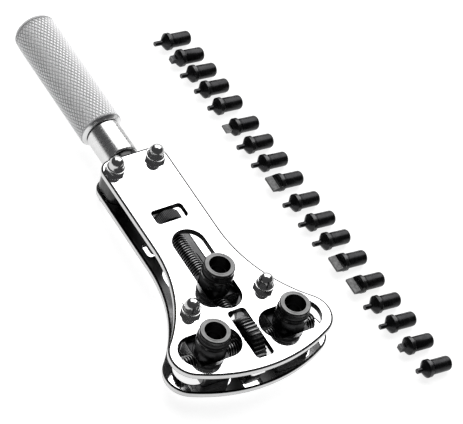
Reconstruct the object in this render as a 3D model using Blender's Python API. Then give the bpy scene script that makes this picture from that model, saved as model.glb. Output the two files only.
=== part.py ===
"""Case back opener: a watchmaker's three-jaw wrench on a knurled handle, with its loose bits beside it.

Two fan-shaped plates hold a left-and-right-hand cross screw that moves the front jaws apart and together,
and a lead screw that moves the rear jaw along the handle's line. Each screw has a thumbwheel that shows
through windows in both plates. The jaws carry sockets that take the shanks of the bits.

Units are metres, +Z is up, +Y runs to the handle and +X is the wrench's right. The model is drawn about the
middle of the front thumbwheel's line, with z = 0 on the top plate's upper face, and the whole assembly is
then moved so that the origin is the middle of its base.
"""

from math import atan2, cos, pi, radians, sin, sqrt

import bmesh
import bpy
from mathutils import Matrix, Vector

MM = 0.001
GAP = 0.3 * MM  # between pieces that touch

# Plates: a straight neck, a hollow shoulder, a round lobe and a long front curve, joined tangentially.
PLATE_THICK = 2.4 * MM
PLATE_SPACE = 7.8 * MM
NECK_HALF = 13.2 * MM
NECK_END = 73.3 * MM
NECK_CORNER = 5.0 * MM
LOBE_X = 22.75 * MM
LOBE_Y = -13.0 * MM
LOBE_RADIUS = 9.15 * MM
SHOULDER_RADIUS = 54.0 * MM
FRONT_RADIUS = 61.0 * MM

# Slots that guide the jaws, and windows that the thumbwheels show through.
FRONT_SLOT_X = 16.27 * MM
FRONT_SLOT_Y = -12.4 * MM
FRONT_SLOT_HALF = (11.8 * MM, 6.4 * MM)
REAR_SLOT_Y = 17.48 * MM
REAR_SLOT_HALF = (18.17 * MM, 6.1 * MM)
FRONT_WINDOW_Y = -12.53 * MM
FRONT_WINDOW_HALF = (3.4 * MM, 10.5 * MM)
REAR_WINDOW_Y = 43.8 * MM
REAR_WINDOW_HALF = (6.2 * MM, 3.0 * MM)
WINDOW_CORNER = 1.3 * MM

# M4 bolts from below, closed by acorn nuts on top.
BOLT_PLACES = {
    "front_left": (-14.96 * MM, 3.28 * MM),
    "front_right": (14.96 * MM, 3.28 * MM),
    "rear_left": (-8.17 * MM, 68.5 * MM),
    "rear_right": (8.17 * MM, 68.5 * MM),
}
BOLT_RADIUS = 2.0 * MM
BOLT_HEAD_RADIUS = 3.5 * MM
BOLT_HEAD_HEIGHT = 2.7 * MM
BOLT_REACH = 4.4 * MM
NUT_ACROSS_FLATS = 7.0 * MM
NUT_HEX_TOP = 3.0 * MM
NUT_COLLAR_RADIUS = 3.1 * MM
NUT_COLLAR_TOP = 3.4 * MM
NUT_DOME_RADIUS = 2.75 * MM
NUT_DOME_CENTRE = 4.7 * MM
SPACER_RADIUS = 3.5 * MM

# M6 x 1 screws at the middle of the space between the plates, each with its thumbwheel.
SCREW_RADIUS = 3.0 * MM
CROSS_SCREW_HALF = 26.5 * MM
LEAD_SCREW_FRONT = 0.9 * MM
LEAD_SCREW_REAR = 66.4 * MM
FRONT_WHEEL_RADIUS = 9.2 * MM
FRONT_WHEEL_ROOT = 8.6 * MM
FRONT_WHEEL_TEETH = 36
FRONT_WHEEL_HALF = 2.6 * MM
REAR_WHEEL_RADIUS = 6.2 * MM
REAR_WHEEL_HALF = 2.2 * MM
REAR_WHEEL_CHAMFER = 0.4 * MM

# Jaws: a round post in the slots, a square carriage between the plates and a socket in the head.
JAW_POST_RADIUS = 5.8 * MM
JAW_TOP = 8.6 * MM
JAW_CARRIAGE_ALONG = 5.9 * MM
JAW_CARRIAGE_ACROSS = 8.2 * MM
SOCKET_MOUTH_RADIUS = 3.7 * MM
SOCKET_MOUTH_DEPTH = 4.6 * MM
SOCKET_RADIUS = 2.95 * MM
SOCKET_DEPTH = 10.2 * MM
FRONT_JAW_X = 16.1 * MM
REAR_JAW_Y = 11.9 * MM

# Handle: a flat tang bolted between the plates, with a stud through the ferrule into the grip.
TANG_HALF = 12.2 * MM
TANG_FRONT = 60.5 * MM
TANG_REAR = 73.0 * MM
STUD_RADIUS = 3.0 * MM
STUD_END = 110.0 * MM
NECK_RADIUS = 5.2 * MM
FERRULE_RADIUS = 6.6 * MM
FERRULE_FRONT = 75.8 * MM
FERRULE_REAR = 89.7 * MM
GRIP_RADIUS = 8.2 * MM
GRIP_FRONT = 90.0 * MM
GRIP_END = 144.2 * MM
GRIP_ROUND = 3.5 * MM

# Loose bits: they lie in a row beside the wrench, tips towards it, resting on collar and shank. The steps
# are each bit's distance along the row in millimetres, as a hand lays them down.
BIT_SHANK_RADIUS = 2.7 * MM
BIT_SHANK_LENGTH = 8.6 * MM
BIT_COLLAR_RADIUS = 3.3 * MM
BIT_COLLAR_LENGTH = 1.6 * MM
BIT_END_ROUND = 1.3 * MM
BIT_ROW_X = 58.0 * MM
BIT_ROW_SLOPE = 0.0567
BIT_ROW_START = 124.9 * MM
BIT_ROW_STEPS = (
    0, 9, 17.5, 26, 35, 46, 55.5, 65, 75,
    85.5, 95.5, 105, 115.5, 126.5, 136.5, 146, 156.5, 167.5,
)
BIT_TURN = radians(-1.5)
BIT_TIPS = (
    "long_pin", "claw", "pin", "short_pin", "short_pin", "blade", "pin", "pin", "chisel",
    "pin", "pin", "long_pin", "chisel", "chisel", "pin", "pin", "claw", "short_pin",
)
PIN_LENGTHS = {"long_pin": 3.0 * MM, "pin": 2.6 * MM, "short_pin": 1.9 * MM}
PIN_RADIUS = 0.95 * MM
CONE_LENGTH = 1.9 * MM

BOTTOM_TOP = -PLATE_THICK - PLATE_SPACE
BOTTOM_UNDER = BOTTOM_TOP - PLATE_THICK
SCREW_Z = -PLATE_THICK - PLATE_SPACE / 2
INSIDE_TOP = -PLATE_THICK - GAP
INSIDE_BOTTOM = BOTTOM_TOP + GAP
TABLE_Z = BOTTOM_UNDER - GAP - BOLT_HEAD_HEIGHT

# colour, roughness, metallic
FINISHES = {
    "chrome_plate": ((0.86, 0.86, 0.87), 0.08, 1.0),
    "chrome_nut": ((0.84, 0.84, 0.86), 0.12, 1.0),
    "steel_screw": ((0.60, 0.60, 0.62), 0.30, 1.0),
    "black_oxide": ((0.035, 0.035, 0.038), 0.35, 0.8),
    "blackened_bit": ((0.06, 0.06, 0.065), 0.32, 0.9),
    "grip_alloy": ((0.74, 0.74, 0.76), 0.38, 1.0),
}


def clear_scene():
    for obj in list(bpy.data.objects):
        bpy.data.objects.remove(obj, do_unlink=True)


def make_empty(name, place, parent=None):
    empty = bpy.data.objects.new(name, None)
    bpy.context.scene.collection.objects.link(empty)
    empty.location = place
    empty.parent = parent
    empty.empty_display_size = 5 * MM
    return empty


def add_finish(obj, finish):
    colour, roughness, metallic = FINISHES[finish]
    material = bpy.data.materials.new(obj.name)
    material.use_nodes = True
    shader = material.node_tree.nodes["Principled BSDF"]
    shader.inputs["Base Color"].default_value = (*colour, 1.0)
    shader.inputs["Roughness"].default_value = roughness
    shader.inputs["Metallic"].default_value = metallic
    obj.data.materials.append(material)


def make_object(name, bm, parent, finish=None, smooth_below=None):
    """Turns a bmesh into an object, with its faces pointing outwards."""
    bmesh.ops.recalc_face_normals(bm, faces=bm.faces)
    mesh = bpy.data.meshes.new(name)
    bm.to_mesh(mesh)
    bm.free()
    obj = bpy.data.objects.new(name, mesh)
    bpy.context.scene.collection.objects.link(obj)
    obj.parent = parent
    if smooth_below:
        mesh.shade_smooth()
        mesh.set_sharp_from_angle(angle=radians(smooth_below))
    if finish:
        add_finish(obj, finish)
    return obj


def make_cutter(name, bm, parent):
    cutter = make_object(name, bm, parent)
    cutter.hide_render = True
    cutter.display_type = "WIRE"
    return cutter


def combine(obj, other, operation):
    modifier = obj.modifiers.new(f"{operation.lower()}_{other.name}", "BOOLEAN")
    modifier.operation = operation
    modifier.solver = "EXACT"
    modifier.object = other


def turned_bmesh(profile, steps, closed=False, along="Z", hex_levels=()):
    """Spins (radius, height) points about Z and lays the axis along X, Y or Z.

    An open profile starts and ends on the axis. A closed one makes a tube. The points whose numbers
    are in hex_levels give a hexagon's half width across flats instead of a radius.
    """
    bm = bmesh.new()
    rings = []
    for number, (radius, height) in enumerate(profile):
        if radius == 0:
            rings.append([bm.verts.new((0, 0, height))])
            continue
        ring = []
        for step in range(steps):
            angle = 2 * pi * step / steps
            reach = radius
            if number in hex_levels:
                reach /= cos((angle + pi / 6) % (pi / 3) - pi / 6)
            ring.append(bm.verts.new((reach * cos(angle), reach * sin(angle), height)))
        rings.append(ring)
    pairs = list(zip(rings, rings[1:]))
    if closed:
        pairs.append((rings[-1], rings[0]))
    for low, high in pairs:
        for step in range(steps):
            after = (step + 1) % steps
            corners = [low[step % len(low)], low[after % len(low)],
                       high[after % len(high)], high[step % len(high)]]
            bm.faces.new(list(dict.fromkeys(corners)))
    if along == "X":
        bmesh.ops.rotate(bm, verts=bm.verts, matrix=Matrix.Rotation(pi / 2, 3, "Y"))
    if along == "Y":
        bmesh.ops.rotate(bm, verts=bm.verts, matrix=Matrix.Rotation(-pi / 2, 3, "X"))
    return bm


def cylinder_bmesh(radius, low, high, steps, along="Z"):
    return turned_bmesh([(0, low), (radius, low), (radius, high), (0, high)], steps, along=along)


def box_bmesh(low, high):
    bm = bmesh.new()
    bmesh.ops.create_cube(bm, size=1)
    size = Vector(high) - Vector(low)
    bmesh.ops.scale(bm, verts=bm.verts, vec=size)
    bmesh.ops.translate(bm, verts=bm.verts, vec=Vector(low) + size / 2)
    return bm


def arc(centre, radius, start, end, pieces):
    """Points on an arc from one angle to another, both ends included."""
    angles = (start + (end - start) * n / pieces for n in range(pieces + 1))
    return [(centre[0] + radius * cos(angle), centre[1] + radius * sin(angle)) for angle in angles]


def rounded_loop(centre, half, radius, pieces):
    """A rectangle with round corners, or an oblong where the radius is half its width."""
    points = []
    for corner, (side_x, side_y) in enumerate(((1, 1), (-1, 1), (-1, -1), (1, -1))):
        middle = (centre[0] + side_x * (half[0] - radius), centre[1] + side_y * (half[1] - radius))
        points += arc(middle, radius, corner * pi / 2, (corner + 1) * pi / 2, pieces)
    tidy = []
    for point in points:
        if not tidy or (Vector(point) - Vector(tidy[-1])).length > 0.01 * MM:
            tidy.append(point)
    if (Vector(tidy[0]) - Vector(tidy[-1])).length < 0.01 * MM:
        tidy.pop()
    return tidy


def plate_outline():
    """The plate's right side from the neck's end to the front, then the left side mirrored."""
    corner = arc((NECK_HALF - NECK_CORNER, NECK_END - NECK_CORNER), NECK_CORNER, pi / 2, 0, 5)
    shoulder_x = NECK_HALF + SHOULDER_RADIUS
    rise = sqrt((SHOULDER_RADIUS + LOBE_RADIUS) ** 2 - (shoulder_x - LOBE_X) ** 2)
    lean = atan2(rise, shoulder_x - LOBE_X)
    shoulder = arc((shoulder_x, LOBE_Y + rise), SHOULDER_RADIUS, pi, pi + lean, 10)
    front_y = LOBE_Y + sqrt((FRONT_RADIUS - LOBE_RADIUS) ** 2 - LOBE_X ** 2)
    slant = atan2(LOBE_Y - front_y, LOBE_X)
    lobe = arc((LOBE_X, LOBE_Y), LOBE_RADIUS, lean, slant, 10)
    front = arc((0, front_y), FRONT_RADIUS, slant, -pi / 2, 5)
    right = corner + shoulder + lobe[1:] + front[1:]
    left = [(-x, y) for x, y in reversed(right[:-1])]
    return right + left


def plate_bmesh(low, high):
    loops = [plate_outline()]
    for side in (-1, 1):
        centre = (side * FRONT_SLOT_X, FRONT_SLOT_Y)
        loops.append(rounded_loop(centre, FRONT_SLOT_HALF, FRONT_SLOT_HALF[1], 6))
    rear_half = (REAR_SLOT_HALF[1], REAR_SLOT_HALF[0])
    loops.append(rounded_loop((0, REAR_SLOT_Y), rear_half, REAR_SLOT_HALF[1], 6))
    loops.append(rounded_loop((0, FRONT_WINDOW_Y), FRONT_WINDOW_HALF, WINDOW_CORNER, 3))
    loops.append(rounded_loop((0, REAR_WINDOW_Y), REAR_WINDOW_HALF, WINDOW_CORNER, 3))
    for place in BOLT_PLACES.values():
        loops.append(arc(place, BOLT_RADIUS + GAP, 0, 2 * pi * 15 / 16, 15))
    bm = bmesh.new()
    edges = []
    for loop in loops:
        verts = [bm.verts.new((x, y, low)) for x, y in loop]
        edges += [bm.edges.new(pair) for pair in zip(verts, verts[1:] + verts[:1])]
    bmesh.ops.triangle_fill(bm, edges=edges, use_beauty=True)
    raised = bmesh.ops.extrude_face_region(bm, geom=bm.faces[:])["geom"]
    upper = [item for item in raised if isinstance(item, bmesh.types.BMVert)]
    bmesh.ops.translate(bm, verts=upper, vec=(0, 0, high - low))
    return bm


def make_plates(root):
    make_object("top_plate", plate_bmesh(-PLATE_THICK, 0), root, "chrome_plate", 30)
    make_object("bottom_plate", plate_bmesh(BOTTOM_UNDER, BOTTOM_TOP), root, "chrome_plate", 30)


def bolt_profile():
    head_top = BOTTOM_UNDER - GAP
    return [(0, TABLE_Z), (BOLT_HEAD_RADIUS - GAP, TABLE_Z), (BOLT_HEAD_RADIUS, TABLE_Z + GAP),
            (BOLT_HEAD_RADIUS, head_top), (BOLT_RADIUS, head_top), (BOLT_RADIUS, BOLT_REACH),
            (0, BOLT_REACH)]


def nut_profile():
    """Half section of the acorn nut: its hexagon, collar, dome and blind bore."""
    half = NUT_ACROSS_FLATS / 2
    outer = [(half - 0.2 * MM, GAP), (half, 0.6 * MM), (half, NUT_HEX_TOP - 0.3 * MM),
             (NUT_COLLAR_RADIUS, NUT_HEX_TOP), (NUT_COLLAR_RADIUS, NUT_COLLAR_TOP),
             (NUT_DOME_RADIUS, NUT_COLLAR_TOP + 0.2 * MM)]
    dome = [(r, NUT_DOME_CENTRE + z) for r, z in arc((0, 0), NUT_DOME_RADIUS, 0, radians(75), 4)]
    bore = BOLT_RADIUS + GAP
    return outer + dome, (0, NUT_DOME_CENTRE + NUT_DOME_RADIUS), bore


def nut_bmesh():
    shell, crown, bore = nut_profile()
    outside = shell + [crown]
    inside = [(0, BOLT_REACH + 2 * GAP), (bore, BOLT_REACH + 2 * GAP), (bore, GAP)]
    bm = turned_bmesh(outside, 12, hex_levels=(1, 2))
    rim = [vert for vert in bm.verts if abs(vert.co.z - GAP) < 0.01 * MM]
    hollow = turned_bmesh(inside, 12)
    mesh = bpy.data.meshes.new("nut_bore")
    hollow.to_mesh(mesh)
    hollow.free()
    count = len(bm.verts)
    bm.from_mesh(mesh)
    bpy.data.meshes.remove(mesh)
    bm.verts.ensure_lookup_table()
    mouth = [vert for vert in bm.verts[count:] if abs(vert.co.z - GAP) < 0.01 * MM]
    rim.sort(key=lambda vert: atan2(vert.co.y, vert.co.x))
    mouth.sort(key=lambda vert: atan2(vert.co.y, vert.co.x))
    for n in range(len(rim)):
        after = (n + 1) % len(rim)
        bm.faces.new((rim[n], rim[after], mouth[after], mouth[n]))
    return bm


def make_fasteners(root):
    for corner, (x, y) in BOLT_PLACES.items():
        seat = make_empty(f"{corner}_bolt_line", (x, y, 0), root)
        make_object(f"bolt_{corner}", turned_bmesh(bolt_profile(), 16), seat, "steel_screw", 30)
        make_object(f"acorn_nut_{corner}", nut_bmesh(), seat, "chrome_nut", 30)
        if corner.startswith("front"):
            bore = BOLT_RADIUS + GAP
            sleeve = [(SPACER_RADIUS, INSIDE_BOTTOM), (SPACER_RADIUS, INSIDE_TOP),
                      (bore, INSIDE_TOP), (bore, INSIDE_BOTTOM)]
            name = corner.replace("front", "spacer")
            make_object(name, turned_bmesh(sleeve, 16, closed=True), seat, "steel_screw", 30)


def make_handle(root):
    line = make_empty("handle_line", (0, 0, SCREW_Z), root)
    half_thick = INSIDE_TOP - SCREW_Z
    tang = bmesh.new()
    outline = rounded_loop((0, (TANG_FRONT + TANG_REAR) / 2),
                           (TANG_HALF, (TANG_REAR - TANG_FRONT) / 2), 4 * MM, 4)
    verts = [tang.verts.new((x, y, -half_thick)) for x, y in outline]
    floor = tang.faces.new(verts)
    raised = bmesh.ops.extrude_face_region(tang, geom=[floor])["geom"]
    upper = [item for item in raised if isinstance(item, bmesh.types.BMVert)]
    bmesh.ops.translate(tang, verts=upper, vec=(0, 0, 2 * half_thick))
    body = make_object("handle_tang", tang, line, "steel_screw", 30)
    neck_front = NECK_END + GAP
    neck_rear = FERRULE_FRONT - GAP
    stud = [(0, TANG_REAR - 2 * MM), (STUD_RADIUS, TANG_REAR - 2 * MM), (STUD_RADIUS, neck_front),
            (NECK_RADIUS, neck_front), (NECK_RADIUS, neck_rear), (STUD_RADIUS, neck_rear),
            (STUD_RADIUS, STUD_END), (0, STUD_END)]
    neck = make_cutter("tang_stud", turned_bmesh(stud, 20, along="Y"), line)
    combine(body, neck, "UNION")
    reach = half_thick + 1 * MM
    for side in (-1, 1):
        hole = cylinder_bmesh(BOLT_RADIUS + GAP, -reach, reach, 16)
        place = (side * BOLT_PLACES["rear_right"][0], BOLT_PLACES["rear_right"][1], 0)
        bmesh.ops.translate(hole, verts=hole.verts, vec=place)
        combine(body, make_cutter(f"tang_hole_{side}", hole, line), "DIFFERENCE")
    tail = cylinder_bmesh(SCREW_RADIUS + GAP, TANG_FRONT - 1 * MM, LEAD_SCREW_REAR + 2 * GAP, 20, "Y")
    combine(body, make_cutter("tang_tail_bore", tail, line), "DIFFERENCE")

    bore = STUD_RADIUS + GAP
    edge = 0.5 * MM
    ring = [(FERRULE_RADIUS - edge, FERRULE_FRONT), (FERRULE_RADIUS, FERRULE_FRONT + edge),
            (FERRULE_RADIUS, FERRULE_REAR), (bore, FERRULE_REAR), (bore, FERRULE_FRONT)]
    make_object("ferrule", turned_bmesh(ring, 28, closed=True, along="Y"), line, "chrome_plate", 30)

    round_start = (GRIP_RADIUS - GRIP_ROUND, GRIP_END - GRIP_ROUND)
    nose = [(r, y) for r, y in arc(round_start, GRIP_ROUND, 0, pi / 2, 4)]
    grip = ([(0, STUD_END + GAP), (bore, STUD_END + GAP), (bore, GRIP_FRONT),
             (GRIP_RADIUS - edge, GRIP_FRONT), (GRIP_RADIUS, GRIP_FRONT + edge)] + nose
            + [(0, GRIP_END)])
    make_object("handle_grip", turned_bmesh(grip, 28, along="Y"), line, "grip_alloy", 40)


def toothed_wheel_bmesh():
    """A thumbwheel with straight teeth across its rim and a bore for the screw, its axis along X."""
    bm = bmesh.new()
    bore = SCREW_RADIUS + GAP
    rims = {}
    for side in (-FRONT_WHEEL_HALF, FRONT_WHEEL_HALF):
        outer = []
        inner = []
        for step in range(2 * FRONT_WHEEL_TEETH):
            angle = pi * step / FRONT_WHEEL_TEETH
            reach = FRONT_WHEEL_RADIUS if step % 2 else FRONT_WHEEL_ROOT
            outer.append(bm.verts.new((side, reach * cos(angle), reach * sin(angle))))
            inner.append(bm.verts.new((side, bore * cos(angle), bore * sin(angle))))
        rims[side] = (outer, inner)
    (outer_a, inner_a), (outer_b, inner_b) = rims.values()
    count = len(outer_a)
    for n in range(count):
        after = (n + 1) % count
        bm.faces.new((outer_a[n], outer_a[after], outer_b[after], outer_b[n]))
        bm.faces.new((inner_a[n], inner_a[after], inner_b[after], inner_b[n]))
        bm.faces.new((outer_a[n], outer_a[after], inner_a[after], inner_a[n]))
        bm.faces.new((outer_b[n], outer_b[after], inner_b[after], inner_b[n]))
    return bm


def make_screws(root):
    cross = make_empty("cross_screw_axis", (0, FRONT_SLOT_Y, SCREW_Z), root)
    rod = cylinder_bmesh(SCREW_RADIUS, -CROSS_SCREW_HALF, CROSS_SCREW_HALF, 20, "X")
    make_object("cross_screw", rod, cross, "black_oxide", 30)
    make_object("front_thumbwheel", toothed_wheel_bmesh(), cross, "black_oxide", 30)

    lead = make_empty("lead_screw_axis", (0, 0, SCREW_Z), root)
    rod = cylinder_bmesh(SCREW_RADIUS, LEAD_SCREW_FRONT, LEAD_SCREW_REAR, 20, "Y")
    make_object("lead_screw", rod, lead, "black_oxide", 30)
    bore = SCREW_RADIUS + GAP
    front = REAR_WINDOW_Y - REAR_WHEEL_HALF
    rear = REAR_WINDOW_Y + REAR_WHEEL_HALF
    edge = REAR_WHEEL_CHAMFER
    section = [(bore, front), (REAR_WHEEL_RADIUS - edge, front), (REAR_WHEEL_RADIUS, front + edge),
               (REAR_WHEEL_RADIUS, rear - edge), (REAR_WHEEL_RADIUS - edge, rear), (bore, rear)]
    wheel = turned_bmesh(section, 28, closed=True, along="Y")
    make_object("rear_thumbwheel", wheel, lead, "black_oxide", 30)


def jaw_profile():
    """Half section of a jaw's post and head, from its foot up the outside and down into the socket."""
    waist_top = JAW_TOP - 1.5 * MM
    waist_low = JAW_TOP - 2.7 * MM
    return [(0, BOTTOM_UNDER + GAP), (JAW_POST_RADIUS, BOTTOM_UNDER + GAP),
            (JAW_POST_RADIUS, waist_low - 0.6 * MM), (4.8 * MM, waist_low), (4.8 * MM, waist_top),
            (5.5 * MM, waist_top + 0.3 * MM), (5.5 * MM, JAW_TOP - 0.3 * MM), (5.2 * MM, JAW_TOP),
            (SOCKET_MOUTH_RADIUS, JAW_TOP), (SOCKET_MOUTH_RADIUS, JAW_TOP - SOCKET_MOUTH_DEPTH),
            (SOCKET_RADIUS, JAW_TOP - SOCKET_MOUTH_DEPTH), (SOCKET_RADIUS, JAW_TOP - SOCKET_DEPTH),
            (0, JAW_TOP - SOCKET_DEPTH)]


def make_jaws(root):
    places = {
        "jaw_left": (-FRONT_JAW_X, FRONT_SLOT_Y, "X"),
        "jaw_right": (FRONT_JAW_X, FRONT_SLOT_Y, "X"),
        "jaw_rear": (0, REAR_JAW_Y, "Y"),
    }
    for name, (x, y, travel) in places.items():
        slide = make_empty(f"{name}_line", (x, y, 0), root)
        jaw = make_object(name, turned_bmesh(jaw_profile(), 24), slide, "black_oxide", 30)
        half_x = JAW_CARRIAGE_ALONG if travel == "X" else JAW_CARRIAGE_ACROSS
        half_y = JAW_CARRIAGE_ACROSS if travel == "X" else JAW_CARRIAGE_ALONG
        block = box_bmesh((-half_x, -half_y, INSIDE_BOTTOM), (half_x, half_y, INSIDE_TOP))
        combine(jaw, make_cutter(f"{name}_carriage", block, slide), "UNION")
        reach = JAW_CARRIAGE_ACROSS + 1 * MM
        bore = cylinder_bmesh(SCREW_RADIUS + GAP, -reach, reach, 20, travel)
        bmesh.ops.translate(bore, verts=bore.verts, vec=(0, 0, SCREW_Z))
        combine(jaw, make_cutter(f"{name}_screw_bore", bore, slide), "DIFFERENCE")


def bit_profile(tip):
    """Half section of a bit along its axis, from the shank's round end to the tip."""
    shank = [(BIT_SHANK_RADIUS - BIT_END_ROUND + r, -z)
             for r, z in arc((0, -BIT_END_ROUND), BIT_END_ROUND, pi / 2, 0, 3)]
    collar_end = BIT_SHANK_LENGTH + BIT_COLLAR_LENGTH
    body = [(0, 0)] + shank + [
        (BIT_SHANK_RADIUS, BIT_SHANK_LENGTH - 0.4 * MM),
        (BIT_COLLAR_RADIUS, BIT_SHANK_LENGTH), (BIT_COLLAR_RADIUS, collar_end)]
    if tip in PIN_LENGTHS:
        cone_end = collar_end + CONE_LENGTH
        return body + [(PIN_RADIUS + 0.1 * MM, cone_end), (PIN_RADIUS, cone_end + 0.2 * MM),
                       (PIN_RADIUS, cone_end + PIN_LENGTHS[tip]), (0, cone_end + PIN_LENGTHS[tip])]
    if tip == "chisel":
        return body + [(2.9 * MM, collar_end + 0.5 * MM), (0, collar_end + 0.5 * MM)]
    return body + [(1.8 * MM, collar_end + 1.4 * MM), (0, collar_end + 1.4 * MM)]


def blade_bmesh(tip):
    """The flat end of a claw, blade or chisel bit, from inside its cone to its edge, along +Z."""
    start = BIT_SHANK_LENGTH + BIT_COLLAR_LENGTH - 0.8 * MM
    half_width = {"claw": 1.5 * MM, "blade": 1.8 * MM, "chisel": 3.1 * MM}[tip]
    half_thick = {"claw": 1.0 * MM, "blade": 0.6 * MM, "chisel": 0.8 * MM}[tip]
    length = {"claw": 4.3 * MM, "blade": 4.9 * MM, "chisel": 4.4 * MM}[tip]
    bm = box_bmesh((-half_thick, -half_width, start), (half_thick, half_width, start + length))
    edge = [vert for vert in bm.verts if vert.co.z > start + length / 2]
    bmesh.ops.scale(bm, verts=edge, vec=(0.55, 1, 1))
    return bm


def make_bits(assembly):
    lean = atan2(BIT_COLLAR_RADIUS - BIT_SHANK_RADIUS, BIT_SHANK_LENGTH - BIT_END_ROUND)
    for number, tip in enumerate(BIT_TIPS):
        along = BIT_ROW_STEPS[number] * MM
        x = BIT_ROW_X + BIT_ROW_SLOPE * along
        y = BIT_ROW_START - along
        height = TABLE_Z + BIT_SHANK_RADIUS * cos(lean) - BIT_END_ROUND * sin(lean)
        place = make_empty(f"bit_{number + 1:02d}_seat", (x, y, height), assembly)
        place.rotation_euler = (0, -pi / 2 + lean, BIT_TURN)
        name = f"bit_{number + 1:02d}"
        bit = make_object(name, turned_bmesh(bit_profile(tip), 12), place, "blackened_bit", 30)
        if tip not in PIN_LENGTHS:
            combine(bit, make_cutter(f"{name}_flat", blade_bmesh(tip), place), "UNION")


def stand_on_origin(assembly):
    """Moves the assembly so that the middle of its base is the origin."""
    bpy.context.view_layer.update()
    graph = bpy.context.evaluated_depsgraph_get()
    corners = []
    for obj in bpy.data.objects:
        if obj.type == "MESH" and not obj.hide_render:
            shape = obj.evaluated_get(graph)
            corners += [shape.matrix_world @ vert.co for vert in shape.data.vertices]
    low = Vector(min(corner[axis] for corner in corners) for axis in range(3))
    high = Vector(max(corner[axis] for corner in corners) for axis in range(3))
    assembly.location = (-(low.x + high.x) / 2, -(low.y + high.y) / 2, -low.z)


def main():
    clear_scene()
    assembly = make_empty("assembly", (0, 0, 0))
    make_plates(assembly)
    make_fasteners(assembly)
    make_handle(assembly)
    make_screws(assembly)
    make_jaws(assembly)
    make_bits(assembly)
    stand_on_origin(assembly)


main()
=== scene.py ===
from math import atan2, ceil, cos, pi, radians, sin, sqrt

import bpy
from mathutils import Matrix, Vector


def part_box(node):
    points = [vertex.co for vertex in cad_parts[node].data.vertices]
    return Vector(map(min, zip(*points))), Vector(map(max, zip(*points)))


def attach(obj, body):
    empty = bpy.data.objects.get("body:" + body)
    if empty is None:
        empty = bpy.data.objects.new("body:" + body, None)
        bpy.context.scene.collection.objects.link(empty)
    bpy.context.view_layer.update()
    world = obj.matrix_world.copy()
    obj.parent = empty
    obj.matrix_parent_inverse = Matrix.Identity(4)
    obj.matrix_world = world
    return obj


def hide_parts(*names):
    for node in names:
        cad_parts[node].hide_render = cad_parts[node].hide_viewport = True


MM = 0.001
TURN = 2 * pi
AXES = {"X": Vector((1, 0, 0)), "Y": Vector((0, 1, 0)), "Z": Vector((0, 0, 1))}
SIDEWAYS = {"X": Vector((0, 0, 1)), "Y": Vector((0, 0, 1)), "Z": Vector((1, 0, 0))}

# All sizes below are in millimetres.
WELD = 0.002  # points closer than this are one point
FLAT = 0.997  # a face whose normal is this upright is one of a plate's flats

# Plates
PLATE_THICK = 2.4
PLATE_SPACE = 7.8
NECK_HALF = 13.2
NECK_END = 73.3
NECK_CORNER = 5.0
LOBE_X = 22.75
LOBE_Y = -13.0
LOBE_RADIUS = 9.15
SHOULDER_RADIUS = 54.0
FRONT_RADIUS = 61.0
PLATE_EDGE = 0.25
PLATE_ROLL = 0.7
PLATE_ROLL_DROP = 0.085
FRONT_SLOT_X = 16.27
WHEEL_LINE_Y = -12.4
FRONT_SLOT_HALF = (11.8, 6.4)
REAR_SLOT_Y = 17.48
REAR_SLOT_HALF = (6.1, 18.17)
FRONT_WINDOW_Y = -12.53
FRONT_WINDOW_HALF = (3.4, 10.5)
REAR_WINDOW_Y = 43.8
REAR_WINDOW_HALF = (6.2, 3.0)
WINDOW_CORNER = 1.3
OPENINGS = (
    ((-FRONT_SLOT_X, WHEEL_LINE_Y), FRONT_SLOT_HALF, FRONT_SLOT_HALF[1]),
    ((FRONT_SLOT_X, WHEEL_LINE_Y), FRONT_SLOT_HALF, FRONT_SLOT_HALF[1]),
    ((0, REAR_SLOT_Y), REAR_SLOT_HALF, REAR_SLOT_HALF[0]),
    ((0, FRONT_WINDOW_Y), FRONT_WINDOW_HALF, WINDOW_CORNER),
    ((0, REAR_WINDOW_Y), REAR_WINDOW_HALF, WINDOW_CORNER),
)

# Fasteners
BOLT_PLACES = {
    "front_left": (-14.96, 3.28),
    "front_right": (14.96, 3.28),
    "rear_left": (-8.17, 68.5),
    "rear_right": (8.17, 68.5),
}
NUT_TURNS = {"front_left": 22, "front_right": 8, "rear_left": 14, "rear_right": 27}  # degrees
BOLT_RADIUS = 2.0
BOLT_HEAD_RADIUS = 3.5
BOLT_REACH = 4.4
NUT_ACROSS_FLATS = 7.0
NUT_HEX_TOP = 3.0
NUT_DOME_RADIUS = 2.75
NUT_DOME_CENTRE = 4.7
NUT_COLLAR_RADIUS = 3.1
NUT_COLLAR_HEIGHT = 0.4
KEY_RADIUS = 1.45
SPACER_RADIUS = 3.5

# Screws and thumbwheels
SCREW_RADIUS = 3.0
SCREW_ROOT = 2.42
PITCH = 1.0
CROSS_SCREW_HALF = 26.5
LEAD_SCREW_FRONT = 0.9
LEAD_SCREW_REAR = 66.4
FRONT_WHEEL_RADIUS = 9.2
FRONT_WHEEL_ROOT = 8.6
FRONT_WHEEL_TEETH = 36
FRONT_WHEEL_HALF = 2.6
FRONT_WHEEL_CHAMFER = 0.75
REAR_WHEEL_RADIUS = 6.2
REAR_WHEEL_ROOT = 6.1
REAR_WHEEL_TEETH = 64
REAR_WHEEL_HALF = 2.2
REAR_WHEEL_CHAMFER = 0.35
WHEEL_DISH = 0.4

# Jaws
JAW_POST_RADIUS = 5.8
JAW_TOP = 8.6
JAW_CARRIAGE_ALONG = 5.9
JAW_CARRIAGE_ACROSS = 8.2
JAW_WAIST_RADIUS = 4.8
JAW_HEAD_RADIUS = 5.5
SOCKET_MOUTH_RADIUS = 3.7
SOCKET_MOUTH_DEPTH = 4.6
SOCKET_RADIUS = 2.95
SOCKET_DEPTH = 10.2

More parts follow.
